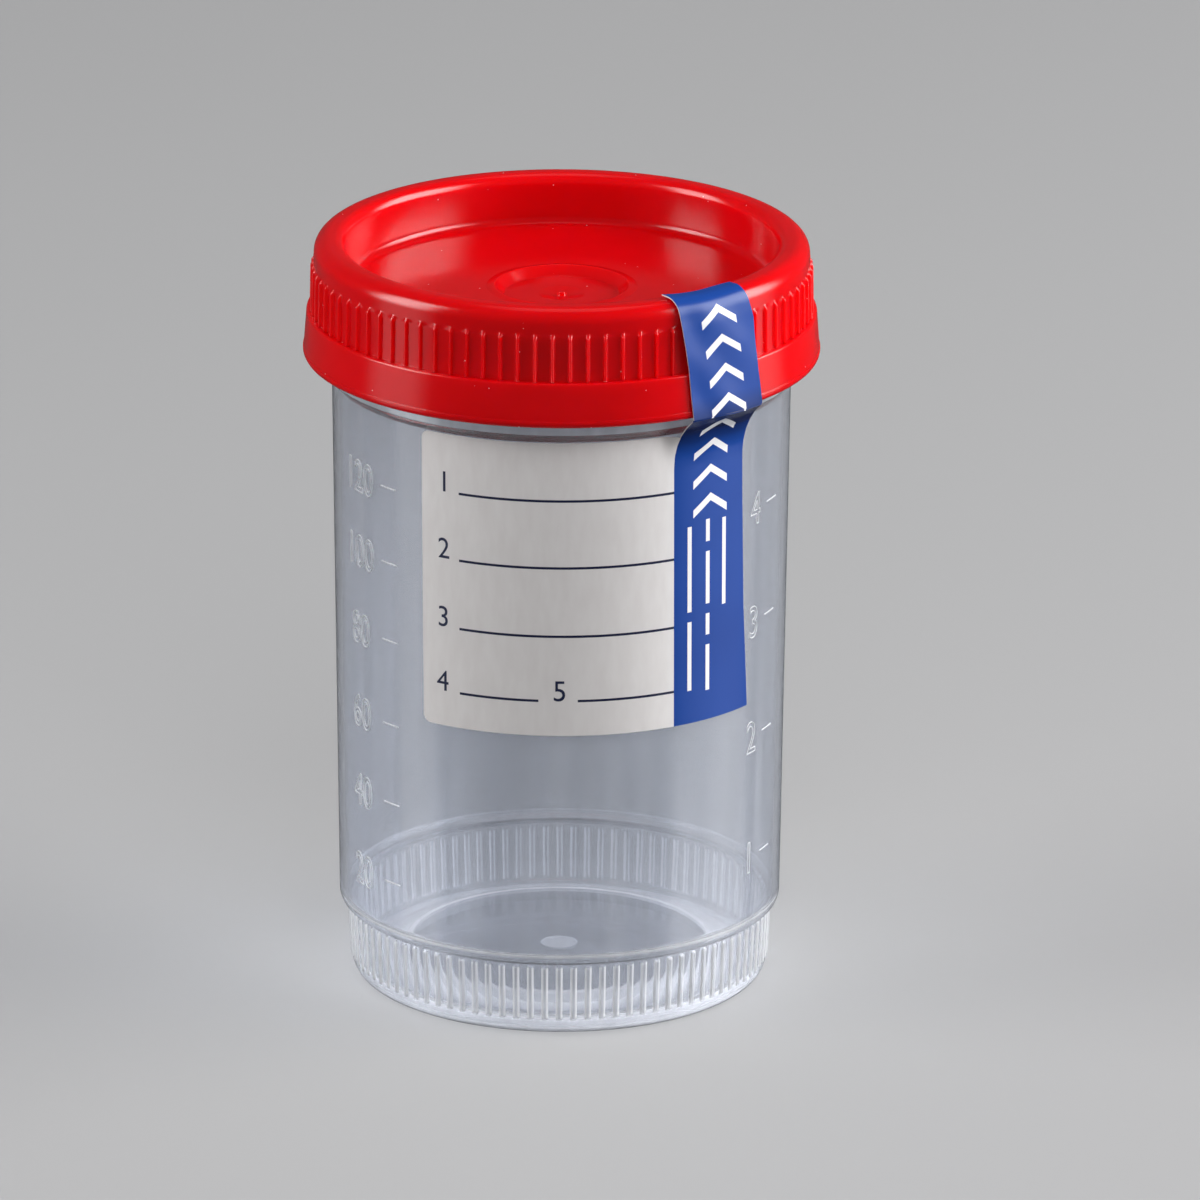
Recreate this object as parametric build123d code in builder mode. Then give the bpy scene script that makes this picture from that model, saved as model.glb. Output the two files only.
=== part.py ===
from build123d import *

import os
from math import cos, degrees, radians, sin

# Specimen container: a tapered cup with a ribbed base ring, a stacking screw cap with a
# plug seal, a wrap-round label on the cup and a tamper strip on the cap.
# Origin: centre of the base on the table. +Z runs up the cup. The label faces -Y.

# ---- Driving dimensions, millimetres --------------------------------------------------

# Cup floor and foot
foot_height = 0.8
foot_width = 3.25
floor_thickness = 1.3
push_up_margin = 2.8
push_up_height = 1.2
push_up_draft = 0.25
push_up_step_inset = 0.6
floor_round = 1.0
gate_radius = 2.1
gate_height = 0.35

# Ribbed base ring
base_height = 9.05
base_bottom_radius = 24.25
base_flare = 0.45
base_corner_round = 1.9
base_rib_count = 92
base_rib_width = 0.72
base_rib_relief = 0.22
base_rib_low_margin = 0.15
base_rib_high_margin = 0.3
base_rib_end_slope = 0.3

# Tapered wall
wall_thickness = 0.8
wall_flare = 0.83
wall_top_height = 73.2
shoulder_overhang = 1.12
shoulder_round = 1.0

# Collar and threaded neck
collar_overhang = 0.95
collar_slope_height = 1.1
collar_edge_height = 1.1
neck_length = 12.4
neck_thickness = 0.8
neck_flare = 0.1
rim_round = 0.35
thread_relief = 0.65
thread_pitch = 4.2
thread_turns = 1.5
thread_root_width = 2.0
thread_crest_width = 0.7
thread_start_height = 2.2

# Cap
cap_clearance = 0.4
rim_clearance = 0.3
crown_thickness = 1.5
crown_outer_round = 1.7
crown_inner_round = 1.2
skirt_thickness = 1.1
thread_clearance = 0.35
skirt_draft = 0.15
flange_height = 5.3
flange_overhang = 1.15
flange_draft = 0.42
flange_bottom_round = 0.6
flange_top_round = 0.25
flange_lead_in = 0.7
cap_rib_count = 90
cap_rib_width = 0.47
cap_rib_relief = 0.36
cap_rib_length = 5.65
cap_rib_end_slope = 0.5
plug_clearance = 0.2
plug_draft = 0.1
plug_thickness = 0.6
recess_draft = 0.35
recess_depth = 5.9
recess_round = 1.0
panel_thickness = 1.2

# Moulded dish and gate mark in the middle of the cap
dish_radius = 7.75
dish_slope_width = 1.1
dish_depth = 0.9
dish_round = 0.35
dimple_radius = 2.7
dimple_depth = 0.35
pip_radius = 0.45
pip_height = 0.55

# Label film and tamper strip
film_thickness = 0.15
film_gap = 0.04
label_low = 37.4
label_top_margin = 0.3
label_corner_round = 1.0
panel_angle = -3.7
panel_left = -14.3
panel_right = 15.6
strip_offset = 18.93
strip_left_low = -3.3
strip_left_tear = -3.7
strip_left_tip = -5.1
strip_right_low = 8.0
strip_right_tear = 6.6
strip_right_tip = 4.5
bridge_start_margin = 4.2
tear_gap = 0.3
strip_top_overlap = 2.4

# ---- Heights and radii that follow from them ------------------------------------------

floor_underside = foot_height
floor_top = floor_underside + floor_thickness
foot_inner_radius = base_bottom_radius - foot_width
push_up_radius = foot_inner_radius - push_up_margin
base_top_radius = base_bottom_radius + base_flare
base_inner_bottom_radius = base_bottom_radius - wall_thickness
base_inner_top_radius = base_top_radius - wall_thickness
base_rib_root = wall_thickness / 2
base_rib_low = base_corner_round + base_rib_low_margin
base_rib_high = base_height - base_rib_high_margin

wall_bottom_radius = base_top_radius + shoulder_overhang
wall_top_radius = wall_bottom_radius + wall_flare
collar_radius = wall_top_radius + collar_overhang
collar_edge_low = wall_top_height + collar_slope_height
collar_top = collar_edge_low + collar_edge_height
neck_bore_radius = wall_top_radius - wall_thickness + neck_flare
neck_radius = neck_bore_radius + neck_thickness
thread_radius = neck_radius + thread_relief
thread_root = neck_thickness / 2
rim_height = collar_top + neck_length
thread_low = collar_top + thread_start_height

cap_bottom = collar_top + cap_clearance
channel_top = rim_height + rim_clearance
cap_top = channel_top + crown_thickness
cap_bore_radius = thread_radius + thread_clearance
skirt_bottom_radius = cap_bore_radius + skirt_thickness
skirt_top_radius = skirt_bottom_radius - skirt_draft
flange_radius = skirt_bottom_radius + flange_overhang
flange_top = cap_bottom + flange_height
flange_top_radius = flange_radius - flange_draft
cap_rib_root = skirt_thickness / 2
cap_rib_top = flange_top + cap_rib_length
recess_floor = cap_top - recess_depth
panel_underside = recess_floor - panel_thickness
plug_radius = neck_bore_radius - plug_clearance
recess_top_radius = plug_radius - plug_thickness
recess_floor_radius = recess_top_radius - recess_draft
dish_floor = recess_floor - dish_depth
label_top = wall_top_height - label_top_margin
bridge_start = wall_top_height - bridge_start_margin
# strip_offset is measured round the cup, from the middle of the panel.
strip_angle = panel_angle + degrees(strip_offset / wall_top_radius)


def wall_radius(height):
    """Outside radius of the tapered cup wall at a height above the table."""
    share = (height - base_height) / (wall_top_height - base_height)
    return wall_bottom_radius + share * (wall_top_radius - wall_bottom_radius)


def base_radius(height):
    """Outside radius of the base ring, between its ribs."""
    return base_bottom_radius + height / base_height * (base_top_radius - base_bottom_radius)


def skirt_radius(height):
    """Outside radius of the cap skirt, between its ribs."""
    share = (height - flange_top) / (cap_top - flange_top)
    return skirt_bottom_radius - share * skirt_draft


def round_corner(radius, height, rounding):
    """Fillet the profile corner at a radius and height, inside a BuildSketch."""
    fillet(vertices().sort_by_distance(Vector(radius, height))[0], rounding)


def facing_plane(bearing):
    """Upright plane through the axis that faces outwards, by degrees to the right of -Y."""
    turn = radians(bearing)
    return Plane(origin=(0, 0, 0), x_dir=(cos(turn), sin(turn), 0), z_dir=(sin(turn), -cos(turn), 0))


# ---- Cup ------------------------------------------------------------------------------

push_up_underside = floor_underside + push_up_height
push_up_top = floor_top + push_up_height

with BuildPart() as base_rib:
    with BuildSketch(Plane.XZ):
        with BuildLine():
            Polyline(
                (base_radius(base_rib_low) - base_rib_root, base_rib_low),
                (base_radius(base_rib_low), base_rib_low),
                (
                    base_radius(base_rib_low) + base_rib_relief,
                    base_rib_low + base_rib_end_slope,
                ),
                (
                    base_radius(base_rib_high) + base_rib_relief,
                    base_rib_high - base_rib_end_slope,
                ),
                (base_radius(base_rib_high), base_rib_high),
                (base_radius(base_rib_high) - base_rib_root, base_rib_high),
                close=True,
            )
        make_face()
    extrude(amount=base_rib_width / 2, both=True)

with BuildPart() as cup:
    with BuildSketch(Plane.XZ):
        with BuildLine():
            Polyline(
                (0, push_up_underside),
                (push_up_radius - push_up_step_inset, push_up_underside),
                (push_up_radius - push_up_step_inset + push_up_draft, floor_underside),
                (foot_inner_radius, floor_underside),
                (foot_inner_radius + foot_height, 0),
                (base_bottom_radius, 0),
                (base_top_radius, base_height),
                (wall_bottom_radius, base_height),
                (wall_top_radius, wall_top_height),
                (collar_radius, collar_edge_low),
                (collar_radius, collar_top),
                (neck_radius, collar_top),
                (neck_radius, rim_height),
                (neck_bore_radius, rim_height),
                (wall_top_radius - wall_thickness, wall_top_height),
                (wall_bottom_radius - wall_thickness, base_height + wall_thickness),
                (base_inner_top_radius, base_height + wall_thickness),
                (base_inner_bottom_radius, floor_top),
                (push_up_radius + push_up_draft, floor_top),
                (push_up_radius, push_up_top),
                (0, push_up_top),
                close=True,
            )
        make_face()
        round_corner(base_bottom_radius, 0, base_corner_round)
        round_corner(wall_bottom_radius, base_height, shoulder_round)
        round_corner(wall_bottom_radius - wall_thickness, base_height + wall_thickness, shoulder_round)
        round_corner(base_inner_bottom_radius, floor_top, floor_round)
        round_corner(neck_radius, rim_height, rim_round)
        round_corner(neck_bore_radius, rim_height, rim_round)
    revolve(axis=Axis.Z)
    # The gate mark stands down from the pushed-up middle, clear of the table.
    with BuildSketch(Plane.XY.offset(push_up_underside)):
        Circle(gate_radius)
    extrude(amount=-gate_height)
    with PolarLocations(0, base_rib_count):
        add(base_rib.part)

with BuildPart() as neck_thread:
    with BuildLine() as helix:
        Helix(thread_pitch, thread_pitch * thread_turns, neck_radius, center=(0, 0, thread_low))
    with BuildSketch(Plane(origin=helix.line @ 0, x_dir=(1, 0, 0), z_dir=helix.line % 0)):
        with BuildLine():
            Polyline(
                (-thread_root, thread_root_width / 2),
                (thread_relief, thread_crest_width / 2),
                (thread_relief, -thread_crest_width / 2),
                (-thread_root, -thread_root_width / 2),
                close=True,
            )
        make_face()
    sweep(path=helix.line, is_frenet=True)

with BuildPart() as threaded_cup:
    add(cup.part)
    add(neck_thread.part)

# ---- Screw cap ------------------------------------------------------------------------

with BuildPart() as cap_rib:
    with BuildSketch(Plane.XZ):
        with BuildLine():
            Polyline(
                (skirt_radius(flange_top) - cap_rib_root, flange_top),
                (skirt_radius(flange_top) + cap_rib_relief, flange_top),
                (
                    skirt_radius(cap_rib_top) + cap_rib_relief,
                    cap_rib_top - cap_rib_end_slope,
                ),
                (skirt_radius(cap_rib_top), cap_rib_top),
                (skirt_radius(cap_rib_top) - cap_rib_root, cap_rib_top),
                close=True,
            )
        make_face()
    extrude(amount=cap_rib_width / 2, both=True)

with BuildPart() as screw_cap:
    with BuildSketch(Plane.XZ):
        with BuildLine():
            Polyline(
                (0, dish_floor - panel_thickness),
                (dish_radius - dish_slope_width, dish_floor - panel_thickness),
                (dish_radius, panel_underside),
                (plug_radius - plug_draft, panel_underside),
                (plug_radius, channel_top),
                (cap_bore_radius, channel_top),
                (cap_bore_radius, cap_bottom + flange_lead_in),
                (cap_bore_radius + flange_lead_in, cap_bottom),
                (flange_radius, cap_bottom),
                (flange_top_radius, flange_top),
                (skirt_bottom_radius, flange_top),
                (skirt_top_radius, cap_top),
                (recess_top_radius, cap_top),
                (recess_floor_radius, recess_floor),
                (dish_radius, recess_floor),
                (dish_radius - dish_slope_width, dish_floor),
                (dimple_radius, dish_floor),
                (pip_radius, dish_floor - dimple_depth),
                (pip_radius, dish_floor - dimple_depth + pip_height),
                (0, dish_floor - dimple_depth + pip_height),
                close=True,
            )
        make_face()
        round_corner(flange_radius, cap_bottom, flange_bottom_round)
        round_corner(flange_top_radius, flange_top, flange_top_round)
        round_corner(skirt_top_radius, cap_top, crown_outer_round)
        round_corner(recess_top_radius, cap_top, crown_inner_round)
        round_corner(recess_floor_radius, recess_floor, recess_round)
        round_corner(dish_radius, recess_floor, dish_round)
        round_corner(dish_radius - dish_slope_width, dish_floor, dish_round)
    revolve(axis=Axis.Z)
    with PolarLocations(0, cap_rib_count):
        add(cap_rib.part)

# ---- Label ----------------------------------------------------------------------------

tear_height = cap_bottom - tear_gap

with BuildPart() as panel_film:
    with BuildSketch(Plane.XZ):
        with BuildLine() as panel_path:
            Line(
                (wall_radius(label_low) + film_gap, label_low),
                (wall_radius(label_top) + film_gap, label_top),
            )
            offset(amount=film_thickness, side=Side.RIGHT)
        make_face()
    revolve(axis=Axis.Z)
    with BuildSketch(facing_plane(panel_angle)):
        with Locations(((panel_left + panel_right) / 2, (label_low + label_top) / 2)):
            RectangleRounded(panel_right - panel_left, label_top - label_low, label_corner_round)
    extrude(amount=flange_radius, mode=Mode.INTERSECT)

with BuildPart() as strip_film:
    with BuildSketch(Plane.XZ):
        with BuildLine():
            wall_run = Line(
                (wall_radius(label_low) + film_gap, label_low),
                (wall_radius(bridge_start) + film_gap, bridge_start),
            )
            TangentArc(wall_run @ 1, (flange_radius + film_gap, tear_height), tangent=wall_run % 1)
            offset(amount=film_thickness, side=Side.RIGHT)
        make_face()
    revolve(axis=Axis.Z)
    with BuildSketch(facing_plane(strip_angle)):
        with BuildLine():
            Polyline(
                (strip_left_low, label_low),
                (strip_right_low, label_low),
                (strip_right_tear, cap_bottom),
                (strip_left_tear, cap_bottom),
                close=True,
            )
        make_face()
    extrude(amount=flange_radius + flange_height, mode=Mode.INTERSECT)

with BuildPart() as label:
    add(panel_film.part)
    add(strip_film.part)

# ---- Tamper strip ---------------------------------------------------------------------

strip_end_radius = skirt_top_radius - strip_top_overlap
strip_height = cap_top + film_gap + film_thickness

with BuildPart() as seal_tab:
    with BuildSketch(Plane.XZ):
        with BuildLine():
            FilletPolyline(
                (flange_radius + film_gap, cap_bottom + flange_bottom_round),
                (flange_top_radius + film_gap, flange_top),
                (skirt_radius(cap_rib_top) + cap_rib_relief + film_gap, cap_rib_top),
                (skirt_top_radius + film_gap, cap_top + film_gap),
                (strip_end_radius, cap_top + film_gap),
                radius=[crown_inner_round, crown_outer_round, crown_outer_round],
            )
            offset(amount=film_thickness, side=Side.RIGHT)
        make_face()
    revolve(axis=Axis.Z)
    with BuildSketch(facing_plane(strip_angle)):
        with BuildLine():
            Polyline(
                (strip_left_tear, cap_bottom),
                (strip_right_tear, cap_bottom),
                (strip_right_tip, strip_height),
                (strip_left_tip, strip_height),
                close=True,
            )
        make_face()
    extrude(amount=flange_radius + flange_height, mode=Mode.INTERSECT)

# ---- Finished pieces ------------------------------------------------------------------

os.makedirs("parts", exist_ok=True)

threaded_cup.part.label = "cup"
export_step(threaded_cup.part, "parts/cup.step")

screw_cap.part.label = "screw_cap"
export_step(screw_cap.part, "parts/screw_cap.step")

label.part.label = "label"
export_step(label.part, "parts/label.step")

seal_tab.part.label = "seal_tab"
export_step(seal_tab.part, "parts/seal_tab.step")
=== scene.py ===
from math import ceil, cos, pi, radians, sin, tan

import bpy
import numpy as np
from mathutils import Matrix, Vector


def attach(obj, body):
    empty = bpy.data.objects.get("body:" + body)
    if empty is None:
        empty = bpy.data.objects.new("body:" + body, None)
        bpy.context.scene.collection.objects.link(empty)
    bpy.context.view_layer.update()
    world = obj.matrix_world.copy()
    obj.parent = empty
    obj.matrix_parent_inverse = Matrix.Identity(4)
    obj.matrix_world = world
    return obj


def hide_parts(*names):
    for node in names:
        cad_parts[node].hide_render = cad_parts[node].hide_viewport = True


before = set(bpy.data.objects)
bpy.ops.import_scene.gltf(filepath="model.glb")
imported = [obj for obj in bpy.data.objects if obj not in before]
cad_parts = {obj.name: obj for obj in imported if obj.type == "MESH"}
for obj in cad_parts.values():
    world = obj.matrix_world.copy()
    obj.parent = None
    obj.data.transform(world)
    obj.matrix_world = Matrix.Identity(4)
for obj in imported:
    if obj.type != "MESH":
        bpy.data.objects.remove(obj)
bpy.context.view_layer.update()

# ---- Sizes, millimetres ---------------------------------------------------------------
# The frame is in metres; MM turns the values below into it. The front, -Y, is bearing 0,
# and bearings grow to the right of it, seen from outside.

MM = 0.001

# Cup
FLOOR_UNDERSIDE = 0.8
FLOOR_TOP = 2.1
PUSH_UP = 1.2
PUSH_UP_RADIUS = 18.2
PUSH_UP_DRAFT = 0.25
PUSH_UP_INSET = 0.6
GATE_RADIUS = 2.1
GATE_HEIGHT = 0.35
FOOT_INNER_RADIUS = 21.0
BASE_BOTTOM_RADIUS = 24.25
BASE_TOP_RADIUS = 24.7
BASE_HEIGHT = 9.05
BASE_ROUND = 1.9
WALL = 0.8
WALL_BOTTOM_RADIUS = 25.82
WALL_TOP_RADIUS = 26.65
WALL_TOP = 73.2
SHOULDER_ROUND = 1.0
COLLAR_RADIUS = 27.6
COLLAR_LOW = 74.3
COLLAR_TOP = 75.4
NECK_BORE = 25.95
NECK_RADIUS = 26.75
RIM = 87.8
RIM_ROUND = 0.35
MOULD_ROUND = 0.15
GATE_ROUND = 0.12
LEDGE_ROUND = 0.08
INNER_STEP_ROUND = 0.2
PUSH_UP_ROUND = 0.3

# Ribs round the cup's base
BASE_RIBS = 92
BASE_RIB_WIDTH = 0.72
BASE_RIB_RELIEF = 0.22
BASE_RIB_LOW = 2.05
BASE_RIB_HIGH = 8.75
BASE_RIB_SLOPE = 0.3

# Thread on the neck
THREAD_LOW = 77.6
THREAD_PITCH = 4.2
THREAD_TURNS = 1.5
THREAD_RELIEF = 0.65
THREAD_ROOT_WIDTH = 2.0
THREAD_CREST_WIDTH = 0.7
THREAD_END = 0.03
THREAD_STEP = 0.2

# Cap
CAP_BOTTOM = 75.8
CAP_TOP = 89.6
CAP_BORE = 27.75
CHANNEL_TOP = 88.1
LEAD_IN = 0.7
FLANGE_RADIUS = 30.0
FLANGE_TOP = 81.1
FLANGE_TOP_RADIUS = 29.58
FLANGE_ROUND = 0.6
FLANGE_TOP_ROUND = 0.25
BEAD_TOP = 76.65
BEAD_RELIEF = 0.09
BEAD_ROUND = 0.06
SKIRT_RADIUS = 28.85
SKIRT_TOP_RADIUS = 28.7
CROWN_ROUND = 1.7
CROWN_INNER_ROUND = 1.2
PLUG_RADIUS = 25.75
PLUG_LOW_RADIUS = 25.65
PLUG_ROUND = 0.3
RECESS_RADIUS = 25.15
RECESS_FLOOR_RADIUS = 24.8
RECESS_FLOOR = 83.7
RECESS_ROUND = 1.0
PANEL_UNDERSIDE = 82.5
DISH_RADIUS = 7.75
DISH_SLOPE = 1.1
DISH_FLOOR = 82.8
DISH_ROUND = 0.25
# A low lip round the dish
DISH_LIP = 0.2
DISH_LIP_WIDTH = 1.0
DISH_LIP_ROUND = 0.2
DISH_LIP_FOOT_ROUND = 0.4
DIMPLE_RADIUS = 2.7
DIMPLE_DEPTH = 0.35
PIP_RADIUS = 0.45
PIP_HEIGHT = 0.55
PIP_ROUND = 0.15

# Ribs round the cap
CAP_RIBS = 90
CAP_RIB_WIDTH = 0.47
CAP_RIB_RELIEF = 0.36
CAP_RIB_HIGH = 86.75
CAP_RIB_SLOPE = 0.5
CAP_RIB_FOOT = 0.02

# Label film and tamper strip
FILM = 0.15
FILM_GAP = 0.04
LABEL_LOW = 37.65
LABEL_TOP = 73.1
LABEL_ROUND = 1.0
PANEL_LEFT_BEARING = -36.6
STRIP_BEARING = 37.0
BRIDGE_START = 69.0
TEAR_HEIGHT = 75.7
STRIP_END_RADIUS = 26.3

# ---- Mesh building --------------------------------------------------------------------

# Arcs turn by this much at most between points, straight runs are held this far from their
# ends, and edges that turn by more than the sharp angle are shaded as edges.
ARC_STEP = radians(11)
HOLD = 0.12
SHARP_ANGLE = radians(38)


def outline(corners, holds=True):
    """Points (radius, height, relief) along corners (radius, height, rounding, relief).

    A rounding becomes an arc. Straight runs get a point near each end, which keeps the
    smooth shading of the arcs out of them.
    """
    points = []
    for i, (radius, height, rounding, relief) in enumerate(corners):
        here = Vector((radius, height))
        if not rounding:
            points.append((radius, height, relief))
            continue
        back = (Vector(corners[i - 1][:2]) - here).normalized()
        on = (Vector(corners[i + 1][:2]) - here).normalized()
        half = back.angle(on) / 2
        start = here + back * rounding / tan(half)
        centre = here + (back + on).normalized() * rounding / sin(half)
        turn = (pi - 2 * half) * (1 if back.cross(on) < 0 else -1)
        steps = max(2, ceil(abs(turn) / ARC_STEP))
        for k in range(steps + 1):
            spoke = Matrix.Rotation(turn * k / steps, 2) @ (start - centre)
            points.append((centre.x + spoke.x, centre.y + spoke.y, relief))
    if not holds:
        return points
    held = [points[0]]
    for before, after in zip(points, points[1:]):
        a, b = np.array(before), np.array(after)
        length = float(np.hypot(*(b - a)[:2]))
        if length > 4 * HOLD:
            held.append(tuple(a + (b - a) * HOLD / length))
            held.append(tuple(b - (b - a) * HOLD / length))
        held.append(after)
    return held


# Where a rib's samples stand, in rib widths from its middle, and how far out each one is.
RIB_SECTION = (
    (0, 0.97),
    (0.14, 1),
    (0.26, 0.9),
    (0.36, 0.72),
    (0.44, 0.42),
    (0.52, 0.1),
    (0.58, 0),
)


def rib_ring(count, width, radius):
    """Angles and shares of relief round a ribbed ring, and how many samples make a half rib."""
    pitch = 2 * pi / count
    half = [(place * width / radius, share) for place, share in RIB_SECTION]
    half.append((pitch / 2, 0))
    back = [(pitch - place, share) for place, share in half[-2:0:-1]]
    ring = half + back
    angles = np.array([i * pitch + place for i in range(count) for place, _ in ring])
    shares = np.array([share for _ in range(count) for _, share in ring])
    return angles, shares, len(half) - 1


def lathe(name, rows, ring, thread=None, values=None):
    """A solid of revolution from rows (radius, height, relief), with ribs where rows have relief.

    values gives names and functions for numbers kept at each place.
    """
    angles, shares, half = ring
    places, loops = [], []

    def add(radius, height, at):
        first = len(places)
        places.extend(zip(radius * np.cos(at), radius * np.sin(at), height + 0 * at))
        return list(range(first, first + len(at)))

    for i, (radius, height, relief) in enumerate(rows):
        if radius == 0:
            places.append((0, 0, height))
            loops.append([len(places) - 1])
            continue
        near = rows[max(0, i - 1) : i + 2]
        if any(row[2] for row in near):
            loops.append(add(radius + relief * shares, height, angles))
            continue
        at = angles[::half]
        swell = 0 if thread is None else thread(at, radius, height)
        loops.append(add(radius + swell, height, at))

    faces = []
    for low, high in zip(loops, loops[1:]):
        if len(low) == 1 or len(high) == 1:
            tip, wheel = (low[0], high) if len(low) == 1 else (high[0], low)
            for i, here in enumerate(wheel):
                after = wheel[(i + 1) % len(wheel)]
                faces.append((tip, after, here) if len(low) == 1 else (here, after, tip))
        elif len(low) == len(high):
            for i in range(len(low)):
                j = (i + 1) % len(low)
                faces.append((low[i], low[j], high[j], high[i]))
        else:
            faces.extend(stepped_faces(low, high, half))
    places = np.array(places)
    numbers = {key: work(places) for key, work in (values or {}).items()}
    return solid(name, places, faces, numbers)


def stepped_faces(low, high, half):
    """Faces between a coarse ring and a fine one, with half fine steps to each coarse one."""
    upward = len(low) < len(high)
    coarse, fine = (low, high) if upward else (high, low)
    middle = half // 2
    faces = []
    for i, here in enumerate(coarse):
        after = coarse[(i + 1) % len(coarse)]
        steps = [fine[(half * i + k) % len(fine)] for k in range(half + 1)]
        group = [(here, steps[k + 1], steps[k]) for k in range(middle)]
        group.append((here, after, steps[middle + 1], steps[middle]))
        group += [(after, steps[k + 1], steps[k]) for k in range(middle + 1, half)]
        faces += group if upward else [face[::-1] for face in group]
    return faces


def solid(name, places, faces, values=None):
    """A smooth-shaded mesh object from places in millimetres, with named values per vertex."""
    mesh = bpy.data.meshes.new(name)
    mesh.from_pydata((places * MM).tolist(), [], faces)
    for key, numbers in (values or {}).items():
        mesh.attributes.new(key, "FLOAT", "POINT").data.foreach_set("value", numbers)
    mesh.shade_smooth()
    mesh.set_sharp_from_angle(angle=SHARP_ANGLE)
    mesh.validate()
    piece = bpy.data.objects.new(name, mesh)
    bpy.context.scene.collection.objects.link(piece)
    return piece


def wall_radius(height):
    """Outside radius of the tapered cup wall."""
    return float(np.interp(height, (BASE_HEIGHT, WALL_TOP), (WALL_BOTTOM_RADIUS, WALL_TOP_RADIUS)))


# ---- Cup and cap ----------------------------------------------------------------------


def neck_thread(angles, radius, height):
    """How far the thread stands out of the neck at these angles and this height."""
    if radius < NECK_RADIUS - RIM_ROUND or not COLLAR_TOP < height < RIM:
        return 0
    swell = np.zeros(len(angles))
    for turn in range(ceil(THREAD_TURNS)):
        along = angles / (2 * pi) + turn
        off = np.abs(height - THREAD_LOW - THREAD_PITCH * along)
        slope = (THREAD_ROOT_WIDTH - THREAD_CREST_WIDTH) / 2
        share = np.clip((THREAD_ROOT_WIDTH / 2 - off) / slope, 0, 1)
        ends = np.clip(np.minimum(along, THREAD_TURNS - along) / THREAD_END, 0, 1)
        swell = np.maximum(swell, THREAD_RELIEF * share * ends)
    return swell


def base_radius(height):
    """Outside radius of the base ring, between its ribs."""
    return float(np.interp(height, (0, BASE_HEIGHT), (BASE_BOTTOM_RADIUS, BASE_TOP_RADIUS)))


# Haze over a rib by its share of the relief: a painted highlight along its edges, where they would catch
# the light, less on the crest.
RIB_HAZE_AND_HIGHLIGHT = ((0, 0.1, 0.9, 0.93, 1), (0, 0.8, 0.8, 0.4, 0.32))
# Haze over the outer skin by its height: milkiness where the plastic is thick, and painted highlights
# along the foot, the shoulder, the collar and the rim.
SKIN_HAZE_AND_HIGHLIGHT = (
    (0, 0.45, 0.7, 1.2, 8.75, 9.05, 10.2, 10.4, 10.6, 74.2, 74.3, 75.4, 76, 87, 87.8),
    (0.7, 0.6, 0.15, 0.05, 0.05, 0.25, 0.15, 0.6, 0.0, 0.0, 0.3, 0.3, 0.1, 0.1, 0.6),
)
# The shoulder's haze ends between these two rows of the wall.
SHOULDER_LINE = 10.4
CLEAR_ABOVE = 11.2
# Below this height the inner side of the foot is hazy too.
FOOT_HIGH = 0.7
# The push-up's edge is hazy to this reach on both sides, a painted highlight along it, and the floor
# outside it faintly.
STEP_REACH = 0.7
STEP_EDGE_HIGHLIGHT = 0.9
FLOOR_HAZE = 0.12
NEAR = 0.01
# Rows this far inside the edge, above and below, keep its haze out of the floor's middle.
STEP_CLEAR_ABOVE = 0.8
STEP_CLEAR_BELOW = 0.5


def haze_and_highlight(places):
    """How milky the cup looks at each place: milkiness where it is thick, and painted highlights along
    its edges.
    """
    radius, height = np.hypot(places[:, 0], places[:, 1]), places[:, 2]
    outer = np.interp(height, (0, BASE_HEIGHT), (BASE_BOTTOM_RADIUS, BASE_TOP_RADIUS))
    wall = np.interp(height, (BASE_HEIGHT, WALL_TOP), (WALL_BOTTOM_RADIUS, WALL_TOP_RADIUS))
    middle = np.where(height < BASE_HEIGHT, outer, wall) - WALL / 2
    ribs = np.interp((radius - outer) / BASE_RIB_RELIEF, *RIB_HAZE_AND_HIGHLIGHT) * (height < BASE_RIB_HIGH)
    on_skin = (radius > middle) | (height < FOOT_HIGH) | (height > COLLAR_TOP)
    skin = np.interp(height, *SKIN_HAZE_AND_HIGHLIGHT) * on_skin
    on_floor = (height < FLOOR_TOP + PUSH_UP + NEAR) & (radius < middle)
    floor_edge = (np.abs(radius - PUSH_UP_RADIUS) < STEP_REACH) * on_floor * STEP_EDGE_HIGHLIGHT
    floor_ring = (radius > PUSH_UP_RADIUS) * on_floor * FLOOR_HAZE
    gate = (radius < GATE_RADIUS + NEAR) * (height < FLOOR_TOP) * 1.0
    return np.maximum.reduce((ribs, skin, floor_edge, floor_ring, gate))


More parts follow.
